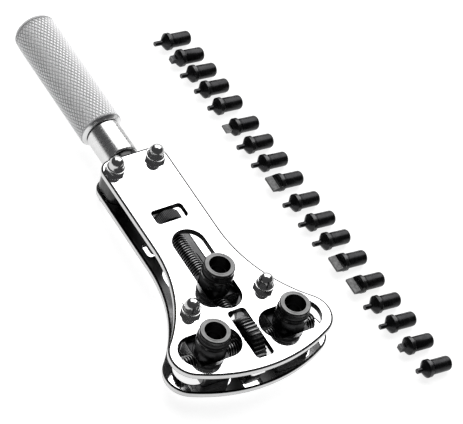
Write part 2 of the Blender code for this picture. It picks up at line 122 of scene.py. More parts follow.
# Handle
TANG_HALF = 12.2
TANG_FRONT = 60.5
TANG_REAR = 73.0
STUD_RADIUS = 3.0
STUD_END = 110.0
TANG_NECK_RADIUS = 5.2
FERRULE_FRONT = 75.8
FERRULE_REAR = 89.7
GRIP_RADIUS = 8.2
GRIP_FRONT = 90.0
GRIP_END = 144.2
GRIP_ROUND = 3.5
KNURL_START = 91.1
KNURL_AROUND = 36
KNURL_PITCH = 2.303
KNURL_ROWS = 22
KNURL_DEPTH = 0.24
KNURL_FLANK = 0.3
KNURL_WALL = 0.35

# Bits
BIT_SHANK_RADIUS = 2.7
BIT_SHANK_LENGTH = 8.6
BIT_COLLAR_RADIUS = 3.3
BIT_COLLAR_END = 10.2
BIT_END_ROUND = 1.3
BIT_CONE_LENGTH = 1.9
BIT_PIN_RADIUS = 0.95
BLADE_STOCK = 2.6  # how thick a blade is where it leaves the bit's face
CHISEL_ROUND = 3.24
BLADE_ROUND = 2.4
BIT_TURN = radians(-1.5)
BIT_LEAN = atan2(BIT_COLLAR_RADIUS - BIT_SHANK_RADIUS, BIT_SHANK_LENGTH - BIT_END_ROUND)
BIT_TIPS = (
    "long_pin", "peg", "pin", "short_pin", "short_pin", "blade", "pin", "pin", "chisel",
    "pin", "pin", "long_pin", "chisel", "chisel", "pin", "pin", "peg", "short_pin",
)
PIN_LENGTHS = {"long_pin": 3.0, "pin": 2.6, "short_pin": 1.9}

# Stage, in metres, degrees and watts
SOFTBOX_OFFSET = Vector((0.47, 0.49, 0.75))
SOFTBOX_SIZE = (1.35, 1.2)
SOFTBOX_POWER = 15.5
FLOOR_SIZE = 6
FLOOR_GLOW = 0.86
VIEW_PLACE = (-484.87, -491.39, 809.34)  # millimetres from the wrench's own origin
VIEW_AZIMUTH = -43.8
VIEW_ELEVATION = 47.9
VIEW_ROLL = 17.4
VIEW_LENS = 241.7

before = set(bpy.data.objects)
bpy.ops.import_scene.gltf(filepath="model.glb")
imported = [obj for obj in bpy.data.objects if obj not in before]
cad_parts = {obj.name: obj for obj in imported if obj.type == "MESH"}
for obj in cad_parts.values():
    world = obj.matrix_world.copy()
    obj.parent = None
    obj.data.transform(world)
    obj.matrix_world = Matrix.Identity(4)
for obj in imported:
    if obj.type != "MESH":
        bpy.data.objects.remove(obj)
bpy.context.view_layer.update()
plate_low, plate_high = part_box("top_plate")
ORIGIN = Vector(((plate_low.x + plate_high.x) / 2, plate_high.y - NECK_END * MM, plate_high.z))
BOTTOM_TOP = -PLATE_THICK - PLATE_SPACE
BOTTOM_UNDER = BOTTOM_TOP - PLATE_THICK
SCREW_Z = -PLATE_THICK - PLATE_SPACE / 2
TABLE_Z = -plate_high.z / MM
GAP = 0.3


def at(x, y, z):
    """A point of the wrench, from the front wheel's middle line on the top plate's face."""
    return ORIGIN + Vector((x, y, z)) * MM


# --- Modelling -------------------------------------------------------------------------------------------


def leave_edit():
    if bpy.context.mode != "OBJECT":
        bpy.ops.object.mode_set(mode="OBJECT")


def select_whole():
    bpy.ops.mesh.select_all(action="SELECT")


def activate(piece):
    leave_edit()
    bpy.ops.object.select_all(action="DESELECT")
    piece.select_set(True)
    bpy.context.view_layer.objects.active = piece


def begin(name, add, **settings):
    """Adds a primitive with nothing else selected."""
    leave_edit()
    bpy.ops.object.select_all(action="DESELECT")
    add(**settings)
    piece = bpy.context.active_object
    piece.name = name
    return piece


def edit(piece, kind="VERT"):
    activate(piece)
    bpy.context.tool_settings.mesh_select_mode = [kind == name for name in ("VERT", "EDGE", "FACE")]
    bpy.ops.object.mode_set(mode="EDIT")


def pick(piece, kind, wanted):
    """Opens the piece in edit mode with the points, edges or faces selected that are wanted."""
    activate(piece)
    mesh = piece.data
    for group in (mesh.vertices, mesh.edges, mesh.polygons):
        group.foreach_set("select", [False] * len(group))
    if kind == "VERT":
        for vert in mesh.vertices:
            vert.select = wanted(vert.co)
    if kind == "EDGE":
        for edge in mesh.edges:
            first, second = (mesh.vertices[n].co for n in edge.vertices)
            edge.select = wanted(first, second)
    if kind == "FACE":
        for face in mesh.polygons:
            face.select = wanted(face.center, face.normal)
    edit(piece, kind)


def settle(piece, shade=30):
    """Puts the piece's place and turn into its mesh and shades it smooth up to an angle."""
    activate(piece)
    bpy.ops.object.transform_apply(location=True, rotation=True, scale=True)
    if shade:
        bpy.ops.object.shade_smooth_by_angle(angle=radians(shade))
    return piece


def close_up(piece):
    """Merges doubled points and turns every face outwards."""
    edit(piece)
    select_whole()
    bpy.ops.mesh.remove_doubles(threshold=WELD * MM)
    bpy.ops.mesh.normals_make_consistent(inside=False)
    leave_edit()


def apply_modifier(piece, kind, **settings):
    modifier = piece.modifiers.new(kind.lower(), kind)
    for key, value in settings.items():
        setattr(modifier, key, value)
    activate(piece)
    bpy.ops.object.modifier_apply(modifier=modifier.name)


def combine(piece, other, operation):
    """Unites, cuts or intersects the piece with the other one, which is used up."""
    apply_modifier(piece, "BOOLEAN", operation=operation, solver="MANIFOLD", object=other)
    bpy.data.objects.remove(other)
    return piece


def soften(piece, width, segments=2):
    """Breaks the sharp edges and keeps the flats flat under smooth shading."""
    apply_modifier(piece, "BEVEL", width=width * MM, segments=segments, limit_method="ANGLE",
                   angle_limit=radians(30), use_clamp_overlap=False)
    activate(piece)
    bpy.ops.object.shade_smooth()
    apply_modifier(piece, "WEIGHTED_NORMAL", weight=90, keep_sharp=False)
    return piece


def first_point(name, origin, point):
    """Starts an outline: one selected point in edit mode, on an object whose origin is given."""
    piece = begin(name, bpy.ops.mesh.primitive_plane_add, size=MM, location=origin)
    edit(piece)
    select_whole()
    bpy.ops.mesh.merge(type="CENTER")
    bpy.ops.transform.translate(value=point - origin)
    return piece


def run(step):
    bpy.ops.mesh.extrude_region_move(TRANSFORM_OT_translate={"value": step})


def sweep(centre, angle, steps):
    """Draws on along an arc round an upright axis; a positive angle is anticlockwise from above."""
    bpy.ops.mesh.spin(steps=steps, angle=-angle, center=centre, axis=(0, 0, 1))


def turned(name, section, axis, centre, steps):
    """Spins a half section of (along, radius) points round the axis through the centre."""
    points = [centre + (AXES[axis] * along + SIDEWAYS[axis] * radius) * MM for along, radius in section]
    piece = first_point(name, centre, points[0])
    for here, there in zip(points, points[1:]):
        run(there - here)
    select_whole()
    bpy.ops.mesh.spin(steps=steps, angle=TURN, center=centre, axis=AXES[axis])
    close_up(piece)
    return piece


def rounding(centre, radius, start, end, steps):
    """(along, radius) points of a turned section's round corner, between two angles in degrees."""
    angles = (radians(start + (end - start) * n / steps) for n in range(steps + 1))
    return [(centre[0] + radius * cos(angle), centre[1] + radius * sin(angle)) for angle in angles]


def rounded_block(name, low, high, corner=0, segments=8, upright=(0, 1)):
    """A block between two points of the wrench, with the edges along its third axis rounded."""
    middle = (Vector(low) + Vector(high)) / 2
    size = Vector(high) - Vector(low)
    block = begin(name, bpy.ops.mesh.primitive_cube_add, size=1, location=at(*middle), scale=size * MM)
    activate(block)
    bpy.ops.object.transform_apply(location=False, rotation=False, scale=True)
    if corner:
        tall = 3 - sum(upright)
        pick(block, "EDGE", lambda a, b: abs(a[tall] - b[tall]) > abs(size[tall]) * MM / 2)
        bpy.ops.mesh.bevel(offset=corner * 0.999 * MM, segments=segments, affect="EDGES", clamp_overlap=False)
        leave_edit()
    return block


def drilled(piece, radius, axis, centre, half_length, steps=40):
    turn = {"X": (0, pi / 2, 0), "Y": (pi / 2, 0, 0), "Z": (0, 0, 0)}[axis]
    drill = begin("drill", bpy.ops.mesh.primitive_cylinder_add, vertices=steps, radius=radius * MM,
                  depth=2 * half_length * MM, location=centre, rotation=turn)
    return combine(piece, drill, "DIFFERENCE")


def copied(piece, name):
    copy = piece.copy()
    copy.data = piece.data.copy()
    copy.name = name
    bpy.context.scene.collection.objects.link(copy)
    return copy


def coat(piece, *materials):
    """Gives the piece its materials in order, in place of any that it has."""
    while len(piece.data.materials) > len(materials):
        piece.data.materials.pop()
    for number, material in enumerate(materials):
        if number < len(piece.data.materials):
            piece.data.materials[number] = material
        else:
            piece.data.materials.append(material)


def finish_piece(piece, body, slot, nodes, *materials):
    """Gives the piece its materials and its place in the frame, and hides the solids that it stands for."""
    activate(piece)
    if materials:
        coat(piece, *materials)
    if nodes:
        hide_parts(*nodes)
    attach(piece, body)


# --- Materials -------------------------------------------------------------------------------------------


class Finish:
    """A material under construction: the shader and the few patterns that metal finishes need."""

    def __init__(self, name, colour, metallic, roughness, **sockets):
        self.material = bpy.data.materials.new(name)
        self.material.use_nodes = True
        self.nodes = self.material.node_tree.nodes
        self.links = self.material.node_tree.links
        self.shader = self.nodes["Principled BSDF"]
        self.shader.inputs["Base Color"].default_value = (*colour, 1)
        self.shader.inputs["Metallic"].default_value = metallic
        self.shader.inputs["Roughness"].default_value = roughness
        for key, value in sockets.items():
            self.shader.inputs[key.replace("_", " ")].default_value = value
        self.height = None

    def place(self, scale=(1, 1, 1), centre=(0, 0, 0), turn=(0, 0, 0)):
        """Object coordinates about a centre, stretched by a scale in patterns a metre."""
        source = self.nodes.new("ShaderNodeTexCoord")
        shift = self.nodes.new("ShaderNodeMapping")
        shift.inputs["Location"].default_value = -Vector(centre)
        self.links.new(source.outputs["Object"], shift.inputs["Vector"])
        stretch = self.nodes.new("ShaderNodeMapping")
        stretch.inputs["Rotation"].default_value = turn
        stretch.inputs["Scale"].default_value = scale
        self.links.new(shift.outputs["Vector"], stretch.inputs["Vector"])
        return stretch.outputs["Vector"]

    def noise(self, place, scale=1.0, detail=3.0):
        texture = self.nodes.new("ShaderNodeTexNoise")
        texture.inputs["Scale"].default_value = scale
        texture.inputs["Detail"].default_value = detail
        self.links.new(place, texture.inputs["Vector"])
        return texture.outputs["Fac"]

    def span(self, value, low, high, to_low, to_high):
        """Maps a range of the value onto another range, and holds it at the ends."""
        node = self.nodes.new("ShaderNodeMapRange")
        for socket, number in zip(("From Min", "From Max", "To Min", "To Max"), (low, high, to_low, to_high)):
            node.inputs[socket].default_value = number
        self.links.new(value, node.inputs["Value"])
        return node.outputs["Result"]

    def blend(self, share, first, second):
        """A colour between two, each of which is a colour or another blend."""
        node = self.nodes.new("ShaderNodeMix")
        node.data_type = "RGBA"
        self.links.new(share, node.inputs["Factor"])
        for socket, colour in zip(("A", "B"), (first, second)):
            target = [item for item in node.inputs if item.name == socket and item.type == "RGBA"][0]
            if isinstance(colour, tuple):
                target.default_value = (*colour, 1)
            else:
                self.links.new(colour, target)
        return [item for item in node.outputs if item.type == "RGBA"][0]

    def math(self, operation, first, second):
        node = self.nodes.new("ShaderNodeMath")
        node.operation = operation
        for socket, value in zip(node.inputs, (first, second)):
            if isinstance(value, (int, float)):
                socket.default_value = value
            else:
                self.links.new(value, socket)
        return node.outputs["Value"]

    def reach(self, centre, axis):
        """The distance from a line through the centre along an axis, in metres."""
        flat = tuple(0 if name == axis else 1 for name in "XYZ")
        node = self.nodes.new("ShaderNodeVectorMath")
        node.operation = "LENGTH"
        self.links.new(self.place(scale=flat, centre=centre), node.inputs[0])
        return node.outputs["Value"]

    def edges(self, low, high):
        """One on convex edges, where handling wears the finish and where edges are painted lighter as
        highlights, and nought on flats.
        """
        node = self.nodes.new("ShaderNodeNewGeometry")
        return self.span(node.outputs["Pointiness"], low, high, 0, 1)

    def drive(self, socket, value):
        self.links.new(value, self.shader.inputs[socket])

    def relief(self, value, depth, strength=1.0):
        """Adds a fine relief to the surface, its depth in millimetres."""
        node = self.nodes.new("ShaderNodeBump")
        node.inputs["Distance"].default_value = depth * MM
        node.inputs["Strength"].default_value = strength
        self.links.new(value, node.inputs["Height"])
        if self.height is not None:
            self.links.new(self.height, node.inputs["Normal"])
        self.height = node.outputs["Normal"]
        self.drive("Normal", self.height)


def mirror_chrome():
    """Polished plate: a clear mirror with faint cloudy and hairline polishing marks."""
    finish = Finish("mirror_chrome", (0.9, 0.9, 0.91), 1.0, 0.05)
    cloud = finish.noise(finish.place(), 45, 4)
    hairs = finish.noise(finish.place(scale=(900, 40, 400), turn=(0, 0, 0.5)), 1, 2)
    finish.drive("Base Color", finish.blend(cloud, (0.87, 0.87, 0.88), (0.93, 0.93, 0.935)))
    rough = finish.math("ADD", finish.span(cloud, 0.35, 0.7, 0.035, 0.08),
                        finish.span(hairs, 0.62, 0.72, 0, 0.05))
    finish.drive("Roughness", rough)
    finish.relief(hairs, 0.0006, 0.5)
    return finish.material


def plate_skin(name, dark, light, rough, grain=0.0):
    """A plate's duller ground walls, edges and underside, cloudy and with grinding lines along the walls; its
    near-black versions on the rolled edges and the openings' walls are painted dark reflection and painted
    shade.
    """
    finish = Finish(name, dark, 1.0, rough)
    cloud = finish.noise(finish.place(), 140, 4)
    lines = finish.noise(finish.place(scale=(60, 60, 4500)), 1, 2)
    finish.drive("Base Color", finish.blend(cloud, dark, light))
    finish.drive("Roughness", finish.span(lines, 0.3, 0.7, rough * 0.8, rough * 1.3))
    if grain:
        finish.relief(lines, grain)
    return finish.material


def turned_chrome(name, axis, centre, shade, smooth, rough):
    """Chrome over turned steel, with rings too fine to feel, between two roughnesses."""
    light = shade * 1.12
    finish = Finish(name, (shade, shade, shade), 1.0, rough)
    stretch = tuple(3500 if letter == axis else 25 for letter in "XYZ")
    rings = finish.noise(finish.place(scale=stretch, centre=centre), 1, 2)
    cloud = finish.noise(finish.place(centre=centre), 160, 3)
    finish.drive("Base Color", finish.blend(cloud, (shade, shade, shade), (light, light, light)))
    finish.drive("Roughness", finish.span(rings, 0.3, 0.75, smooth, rough))
    finish.relief(rings, 0.002, 0.6)
    return finish.material


def machined_steel(name, dark, light):
    """Turned and milled steel with fine cutting marks and faint patches."""
    finish = Finish(name, dark, 1.0, 0.3)
    grain = finish.noise(finish.place(scale=(250, 2600, 250)), 1, 3)
    patches = finish.noise(finish.place(), 220, 4)
    finish.drive("Base Color", finish.blend(patches, dark, light))
    finish.drive("Roughness", finish.span(grain, 0.3, 0.75, 0.2, 0.42))
    finish.relief(grain, 0.004)
    return finish.material


def black_oxide(name, centre, axis, bare=(0.2, 0.2, 0.2), rim=None):
    """Oiled black oxide on turned steel, lighter grey along its edges and on a jaw's rim: partly wear, partly
    painted highlight.
    """
    finish = Finish(name, (0.06, 0.06, 0.06), 1.0, 0.3)
    stretch = tuple(2600 if letter == axis else 60 for letter in "XYZ")
    rings = finish.noise(finish.place(scale=stretch, centre=centre), 1, 2)
    cloud = finish.noise(finish.place(centre=centre), 380, 5)
    skin = finish.blend(cloud, (0.015, 0.015, 0.016), (0.05, 0.05, 0.051))
    # Convex edges painted grey: partly wear, partly painted highlight.
    patchy = finish.math("MULTIPLY", finish.edges(0.53, 0.6), finish.span(cloud, 0.3, 0.6, 0.35, 1))
    colour = finish.blend(patchy, skin, bare)
    # A jaw's top face is painted lighter grey: partly rim wear, partly a painted highlight where the top
    # faces the light.
    if rim is not None:
        split = finish.nodes.new("ShaderNodeSeparateXYZ")
        finish.links.new(finish.place(), split.inputs["Vector"])
        share = finish.span(split.outputs["Z"], rim - 0.12 * MM, rim - 0.03 * MM, 0, 1)
        rim_wear_and_highlight = finish.blend(cloud, (0.08, 0.08, 0.08), (0.16, 0.16, 0.16))
        colour = finish.blend(share, colour, rim_wear_and_highlight)
    finish.drive("Base Color", colour)
    finish.drive("Roughness", finish.span(rings, 0.3, 0.75, 0.22, 0.38))
    finish.relief(rings, 0.004, 0.8)
    finish.relief(cloud, 0.003, 0.4)
    return finish.material


def blackened_thread(name, centre, axis):
    """Black screw thread whose crests are painted light grey: partly polish from the jaws, partly a painted
    highlight along the ridges.
    """
    finish = Finish(name, (0.05, 0.05, 0.05), 1.0, 0.3)
    cloud = finish.noise(finish.place(centre=centre), 500, 4)
    reach = finish.reach(centre, axis)
    # Thread crests painted light grey: partly polish, partly painted highlight.
    crest = finish.span(reach, (SCREW_RADIUS - 0.22) * MM, (SCREW_RADIUS - 0.03) * MM, 0, 1)
    wear_and_highlight = finish.math("MULTIPLY", crest, finish.span(cloud, 0.3, 0.65, 0.45, 1))
    finish.drive("Base Color", finish.blend(wear_and_highlight, (0.035, 0.035, 0.036), (0.5, 0.5, 0.5)))
    finish.drive("Roughness", finish.span(cloud, 0.3, 0.7, 0.24, 0.4))
    return finish.material


def knurled_alloy(centre):
    """Satin alloy, brighter on the diamonds' tops and darker in the grooves."""
    finish = Finish("knurled_alloy", (0.8, 0.8, 0.804), 0.25, 0.5)
    reach = finish.reach(centre, "Y")
    top = finish.span(reach, (GRIP_RADIUS - KNURL_DEPTH) * MM, (GRIP_RADIUS - 0.03) * MM, 0, 1)
    cloud = finish.noise(finish.place(centre=centre), 300, 4)
    smudge = finish.noise(finish.place(centre=centre), 55, 3)
    groove = finish.blend(cloud, (0.4, 0.4, 0.403), (0.56, 0.56, 0.564))
    bright = finish.blend(smudge, (0.86, 0.86, 0.865), (0.95, 0.95, 0.955))
    finish.drive("Base Color", finish.blend(top, groove, bright))
    finish.drive("Roughness", finish.span(smudge, 0.3, 0.7, 0.42, 0.58))
    finish.relief(cloud, 0.006, 0.6)
    return finish.material


def oiled_bit_steel():
    """Hardened bit steel: blue-black scale with turning rings, thinned to grey on its edges, partly where the
    collar's edge rubs and partly as painted highlight.
    """
    finish = Finish("oiled_bit_steel", (0.1, 0.1, 0.1), 1.0, 0.32)
    rings = finish.noise(finish.place(scale=(2400, 90, 90), turn=(0, 0, BIT_TURN)), 1, 2)
    cloud = finish.noise(finish.place(), 420, 5)
    skin = finish.blend(cloud, (0.014, 0.014, 0.015), (0.045, 0.045, 0.046))
    # Edges painted grey: partly rubbed scale, partly a painted highlight such as the light ring at the
    # collar.
    wear_and_highlight = finish.math("MULTIPLY", finish.edges(0.54, 0.62), finish.span(cloud, 0.35, 0.6, 0.3, 1))
    finish.drive("Base Color", finish.blend(wear_and_highlight, skin, (0.26, 0.26, 0.26)))
    finish.drive("Roughness", finish.span(rings, 0.3, 0.75, 0.24, 0.42))
    finish.relief(rings, 0.005, 0.8)
    finish.relief(cloud, 0.004, 0.5)
    return finish.material


def ground_tip_steel():
    """Bare steel left by the grinding wheel on a bit's working face."""
    finish = Finish("ground_tip_steel", (0.5, 0.5, 0.5), 1.0, 0.36)
    strokes = finish.noise(finish.place(scale=(2200, 500, 2200), turn=(0, 0, 0.35)), 1, 3)
    stain = finish.noise(finish.place(), 900, 4)
    finish.drive("Base Color", finish.blend(stain, (0.012, 0.012, 0.012), (0.13, 0.13, 0.13)))
    finish.drive("Roughness", finish.span(strokes, 0.3, 0.75, 0.26, 0.5))
    finish.relief(strokes, 0.008)
    return finish.material


# --- Plates ----------------------------------------------------------------------------------------------


def plate(name, low, high, materials):
    """Half the outline drawn from the neck to the front, mirrored, filled, raised and then cut."""
    foot = low + PLATE_ROLL_DROP
    centre = at(0, 0, foot)
    shoulder_x = NECK_HALF + SHOULDER_RADIUS
    rise = sqrt((SHOULDER_RADIUS + LOBE_RADIUS) ** 2 - (shoulder_x - LOBE_X) ** 2)
    lean = atan2(rise, shoulder_x - LOBE_X)
    front_y = LOBE_Y + sqrt((FRONT_RADIUS - LOBE_RADIUS) ** 2 - LOBE_X ** 2)
    slant = atan2(LOBE_Y - front_y, LOBE_X)
    piece = first_point(name, centre, at(0, NECK_END, foot))
    run(Vector((NECK_HALF - NECK_CORNER, 0, 0)) * MM)
    sweep(at(NECK_HALF - NECK_CORNER, NECK_END - NECK_CORNER, foot), -pi / 2, 12)
    run(Vector((0, LOBE_Y + rise - NECK_END + NECK_CORNER, 0)) * MM)
    sweep(at(shoulder_x, LOBE_Y + rise, foot), lean, 28)
    sweep(at(LOBE_X, LOBE_Y, foot), slant - lean, 32)
    sweep(at(0, front_y, foot), -pi / 2 - slant, 18)
    leave_edit()
    apply_modifier(piece, "MIRROR", use_axis=(True, False, False), merge_threshold=10 * WELD * MM)
    edit(piece)
    select_whole()
    bpy.ops.mesh.edge_face_add()
    run(Vector((0, 0, high - PLATE_ROLL_DROP - foot)) * MM)
    close_up(piece)
    coat(piece, *materials)
    pick(piece, "FACE", lambda middle, normal: abs(normal.z) > 0.9)
    bpy.ops.mesh.inset(thickness=PLATE_ROLL * MM, depth=PLATE_ROLL_DROP * MM)
    leave_edit()
    below, above = low - 1, high + 1
    for (x, y), (half_x, half_y), corner in OPENINGS:
        segments = 24 if corner > 2 else 8
        cutter = rounded_block("opening", (x - half_x, y - half_y, below), (x + half_x, y + half_y, above),
                               corner, segments)
        combine(piece, cutter, "DIFFERENCE")
    for x, y in BOLT_PLACES.values():
        drilled(piece, BOLT_RADIUS + GAP, "Z", at(x, y, (low + high) / 2), PLATE_THICK)
    soften(piece, PLATE_EDGE, 3)
    return settle(piece, shade=None)


def in_opening(point):
    """Whether a point of a plate lies on an opening's wall or edge."""
    place = (point - ORIGIN) / MM
    margin = 2 * PLATE_EDGE
    return any(abs(place.x - x) < half_x + margin and abs(place.y - y) < half_y + margin
               for (x, y), (half_x, half_y), _ in OPENINGS)


def make_plates(*finishes):
    """Bright faces, rolled edges painted near-black as a dark reflection, ground outer walls, opening walls
    painted black as shade and a raw underside.
    """
    for name, node, low, high in (("polished_top_plate", "top_plate", -PLATE_THICK, 0),
                                  ("polished_bottom_plate", "bottom_plate", BOTTOM_UNDER, BOTTOM_TOP)):
        piece = plate(name, low, high, finishes)
        for face in piece.data.polygons:
            lean = abs(face.normal.z)
            if node == "top_plate" and face.normal.z < -FLAT:
                face.material_index = 4
            # Walls inside an opening get near-black painted shade.
            elif lean < FLAT and in_opening(face.center):
                face.material_index = 3
            # Tilted edge faces get near-black painted dark reflection; upright outer walls get the ground
            # grey.
            elif lean < FLAT:
                face.material_index = 1 if lean > 0.1 else 2
        finish_piece(piece, "wrench_body", "chrome_plate", [node])


# --- Fasteners -------------------------------------------------------------------------------------------


def acorn_nut():
    """A chamfered hexagon with a short collar and a dome, about the world's origin."""
    here = Vector((0, 0, 0))
    half = NUT_ACROSS_FLATS / 2
    corner = half / cos(pi / 6)
    hexagon = begin("hexagon", bpy.ops.mesh.primitive_cylinder_add, vertices=6, radius=corner * MM,
                    depth=NUT_HEX_TOP * MM, location=(0, 0, NUT_HEX_TOP / 2 * MM))
    cone = turned("chamfer", [(0.03, 0), (0.03, corner - 0.45), (0.5, corner + 0.1),
                              (NUT_HEX_TOP - 0.55, corner + 0.1), (NUT_HEX_TOP, half - 0.1),
                              (NUT_HEX_TOP, 0)], "Z", here, 60)
    combine(hexagon, cone, "INTERSECT")
    soften(hexagon, 0.1, 2)
    collar_top = NUT_HEX_TOP + NUT_COLLAR_HEIGHT
    dome = rounding((NUT_DOME_CENTRE, 0), NUT_DOME_RADIUS, 90, 0, 14)
    section = [(NUT_HEX_TOP - 1, 0), (NUT_HEX_TOP - 1, NUT_COLLAR_RADIUS),
               (collar_top - 0.12, NUT_COLLAR_RADIUS), (collar_top, NUT_COLLAR_RADIUS - 0.12),
               (collar_top + 0.12, NUT_DOME_RADIUS + 0.04),
               (collar_top + 0.3, NUT_DOME_RADIUS)] + dome
    crown = turned("crown", section, "Z", here, 60)
    activate(crown)
    bpy.ops.object.shade_smooth_by_angle(angle=radians(30))
    return combine(hexagon, crown, "UNION")


def bolt(name, x, y):
    """A cap screw from below: its head stands on the table and has a hexagon socket."""
    head_top = BOTTOM_UNDER - GAP
    head = turned(name, [(TABLE_Z, 0), (TABLE_Z, BOLT_HEAD_RADIUS - 0.35)]
                  + rounding((TABLE_Z + 0.35, BOLT_HEAD_RADIUS - 0.35), 0.35, 180, 90, 4)
                  + [(head_top - 0.15, BOLT_HEAD_RADIUS), (head_top, BOLT_HEAD_RADIUS - 0.15),
                     (head_top, BOLT_RADIUS), (BOLT_REACH - 0.5, BOLT_RADIUS),
                     (BOLT_REACH, BOLT_RADIUS - 0.5), (BOLT_REACH, 0)], "Z", at(x, y, 0), 48)
    key = begin("key", bpy.ops.mesh.primitive_cylinder_add, vertices=6, radius=KEY_RADIUS * MM,
                depth=3 * MM, location=at(x, y, TABLE_Z))
    combine(head, key, "DIFFERENCE")
    return settle(head)


def make_fasteners(nut_chrome, steel):
    nut = acorn_nut()
    for corner, (x, y) in BOLT_PLACES.items():
        made = copied(nut, f"chromed_nut_{corner}")
        made.location = at(x, y, 0)
        made.rotation_euler = (0, 0, radians(NUT_TURNS[corner]))
        settle(made, shade=None)
        finish_piece(made, "wrench_body", "chrome_nut", [f"acorn_nut_{corner}"], nut_chrome[corner])
        screw = bolt(f"cap_screw_{corner}", x, y)
        finish_piece(screw, "wrench_body", "steel_screw", [f"bolt_{corner}"], steel)
    bpy.data.objects.remove(nut)
    for side in ("left", "right"):
        x, y = BOLT_PLACES[f"front_{side}"]
        low, high = BOTTOM_TOP + 0.05, -PLATE_THICK - 0.05
        bore = BOLT_RADIUS + GAP
        sleeve = turned(f"turned_spacer_{side}", [
            (low, bore), (low, SPACER_RADIUS - 0.3), (low + 0.3, SPACER_RADIUS), (high - 0.3, SPACER_RADIUS),
            (high, SPACER_RADIUS - 0.3), (high, bore), (low, bore)], "Z", at(x, y, 0), 48)
        finish_piece(settle(sleeve), "wrench_body", "steel_screw", [f"spacer_{side}"], steel)


# --- Handle ----------------------------------------------------------------------------------------------


def make_tang(steel):
    line = at(0, 0, SCREW_Z)
    low, high = BOTTOM_TOP + GAP, -PLATE_THICK - GAP
    tang = rounded_block("milled_tang", (-TANG_HALF, TANG_FRONT, low), (TANG_HALF, TANG_REAR, high), 4, 8)
    soften(tang, 0.3, 2)
    neck_front = NECK_END + GAP
    neck_rear = FERRULE_FRONT - 0.1
    stud = turned("stud", [
        (TANG_REAR - 2, 0), (TANG_REAR - 2, STUD_RADIUS), (neck_front, STUD_RADIUS),
        (neck_front, TANG_NECK_RADIUS - 0.3), (neck_front + 0.3, TANG_NECK_RADIUS),
        (neck_rear, TANG_NECK_RADIUS), (neck_rear, STUD_RADIUS), (STUD_END, STUD_RADIUS),
        (STUD_END, 0)], "Y", line, 48)
    combine(tang, stud, "UNION")
    for corner in ("rear_left", "rear_right"):
        x, y = BOLT_PLACES[corner]
        drilled(tang, BOLT_RADIUS + GAP, "Z", at(x, y, SCREW_Z), PLATE_SPACE)
    drilled(tang, SCREW_RADIUS + GAP, "Y", at(0, TANG_FRONT, SCREW_Z), LEAD_SCREW_REAR + 0.5 - TANG_FRONT)
    finish_piece(settle(tang), "wrench_body", "steel_screw", ["handle_tang"], steel)


def make_ferrule(chrome):
    low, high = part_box("ferrule")
    radius = (high.x - low.x) / 2 / MM
    bore = STUD_RADIUS + GAP
    section = [(FERRULE_FRONT, bore), (FERRULE_FRONT, radius - 0.75), (FERRULE_FRONT + 0.12, radius - 0.55)]
    section += rounding((FERRULE_FRONT + 0.5, radius - 0.45), 0.45, 180, 90, 5)
    section += [(FERRULE_REAR - 0.5, radius), (FERRULE_REAR - 0.3, radius - 0.15),
                (FERRULE_REAR, radius - 0.3), (FERRULE_REAR, bore), (FERRULE_FRONT, bore)]
    ferrule = turned("bright_ferrule", section, "Y", at(0, 0, SCREW_Z), 96)
    finish_piece(settle(ferrule), "wrench_body", "chrome_plate", ["ferrule"], chrome)


def grip_reach(along):
    """The grip's radius at a place along it, where its end is rounded."""
    past = along - (GRIP_END - GRIP_ROUND)
    if past <= 0:
        return GRIP_RADIUS
    return GRIP_RADIUS - GRIP_ROUND + sqrt(GRIP_ROUND ** 2 - min(past, GRIP_ROUND) ** 2)


def knurled_sleeve(line):
    """A netted tube: a grid of faces is poked, its own lines dissolved, and each diamond left is raised."""
    start, end = KNURL_START, KNURL_START + KNURL_ROWS * KNURL_PITCH
    depths = [grip_reach(start + row * KNURL_PITCH) - KNURL_DEPTH for row in range(KNURL_ROWS + 1)]
    sleeve = first_point("knurled_grip", line, line + Vector((0, start, depths[0])) * MM)
    for here, there in zip(depths, depths[1:]):
        run(Vector((0, KNURL_PITCH, there - here)) * MM)
    select_whole()
    bpy.ops.mesh.spin(steps=KNURL_AROUND, angle=TURN, center=line, axis=(0, 1, 0))
    close_up(sleeve)
    edit(sleeve, "FACE")
    select_whole()
    bpy.ops.mesh.poke()
    leave_edit()
    grid = KNURL_PITCH * MM
    turn = TURN / KNURL_AROUND

    def on_grid_line(first_end, second_end):
        along = abs(first_end.y - second_end.y)
        angle = atan2(first_end.x, first_end.z) - atan2(second_end.x, second_end.z)
        angle = abs((angle + pi) % TURN - pi)
        inner = start * MM + 0.2 * grid < first_end.y < end * MM - 0.2 * grid
        ring = along < 0.1 * grid and angle > 0.8 * turn and inner
        return ring or (along > 0.8 * grid and angle < 0.1 * turn)

    pick(sleeve, "EDGE", on_grid_line)
    bpy.ops.mesh.dissolve_edges(use_verts=False)
    leave_edit()
    pick(sleeve, "VERT", lambda point: 0.3 < (point.y / MM - start) / KNURL_PITCH % 1 < 0.7)
    swell = 1 / cos(pi / KNURL_AROUND)
    bpy.ops.transform.resize(value=(swell, 1, swell), center_override=line)
    edit(sleeve, "FACE")
    select_whole()
    bpy.ops.mesh.inset(thickness=KNURL_FLANK * MM, depth=KNURL_DEPTH * MM, use_individual=True,
                       use_boundary=True)
    bpy.ops.mesh.select_all(action="DESELECT")
    bpy.ops.mesh.select_mode(type="EDGE")
    bpy.ops.mesh.select_non_manifold()
    shrink = (GRIP_RADIUS - KNURL_DEPTH - KNURL_WALL - GRIP_ROUND) / GRIP_RADIUS
    bpy.ops.mesh.extrude_edges_move(TRANSFORM_OT_translate={"value": (0, 0, 0)})
    bpy.ops.transform.resize(value=(shrink, 1, shrink), center_override=line)
    bpy.ops.mesh.select_all(action="DESELECT")
    bpy.ops.mesh.select_non_manifold()
    bpy.ops.mesh.bridge_edge_loops()
    close_up(sleeve)
    return sleeve


